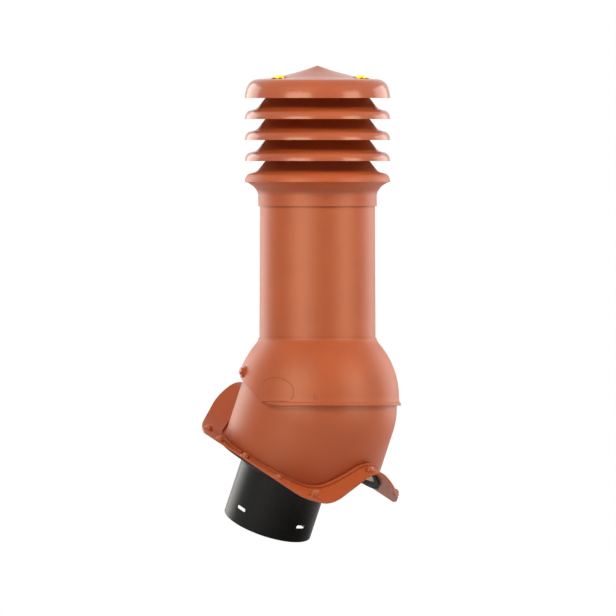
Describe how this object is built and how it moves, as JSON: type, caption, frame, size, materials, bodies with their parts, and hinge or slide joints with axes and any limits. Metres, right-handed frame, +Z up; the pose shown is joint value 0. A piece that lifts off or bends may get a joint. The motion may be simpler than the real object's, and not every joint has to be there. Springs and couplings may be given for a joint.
{
  "type": "roof vent",
  "caption": "Tiltable roof vent with a louvred cap, a round stack, a ball-shaped foot and a flange shaped to a wavy roof tile.",
  "frame": {"origin": "on the skirt's axis, level with the bottom of the flange's near trough to within about a millimetre, where it sits on the roof", "axes": "+Z straight up along the stack, +X level and downhill, +Y across the slope; the flange is pitched 25 degrees about +Y"},
  "size_m": [0.2841, 0.2497, 0.6625],
  "materials": {
    "terracotta": "satin moulded",
    "black_plastic": "smooth satin",
    "seal_foam": "closed-cell foam",
    "insulation": "rigid foam",
    "painted_screw": "satin paint",
    "yellow_zinc": "yellow zinc plate"
  },
  "bodies": {
    "base": {"base_shell": "terracotta", "flange_seal": "seal_foam", "duct_spigot": "black_plastic", "flange_screw_1": "painted_screw", "flange_screw_2": "painted_screw", "flange_screw_3": "painted_screw", "flange_screw_4": "painted_screw", "flange_screw_5": "painted_screw", "flange_screw_6": "painted_screw", "flange_screw_7": "painted_screw", "flange_screw_8": "painted_screw", "flange_screw_9": "painted_screw", "flange_screw_10": "painted_screw", "flange_screw_11": "painted_screw"},
    "stack": {"hood": "terracotta", "side_cover_near": "terracotta", "side_cover_far": "terracotta", "lock_screw_near": "painted_screw", "lock_screw_far": "painted_screw", "stack_pipe": "terracotta", "inner_duct": "black_plastic", "insulation_sleeve": "insulation", "head_collar": "terracotta", "louvre_1": "terracotta", "louvre_2": "terracotta", "louvre_3": "terracotta", "cap": "terracotta", "cap_screw_1": "yellow_zinc", "cap_screw_2": "yellow_zinc", "cap_screw_3": "yellow_zinc"}
  },
  "joints": [
    {"name": "hood_pitch", "type": "hinge", "parent": "base", "child": "stack", "pos_m": [0.0355, 0, 0.07613], "axis": [0, 1, 0], "range_deg": [-10, 12]}
  ]
}
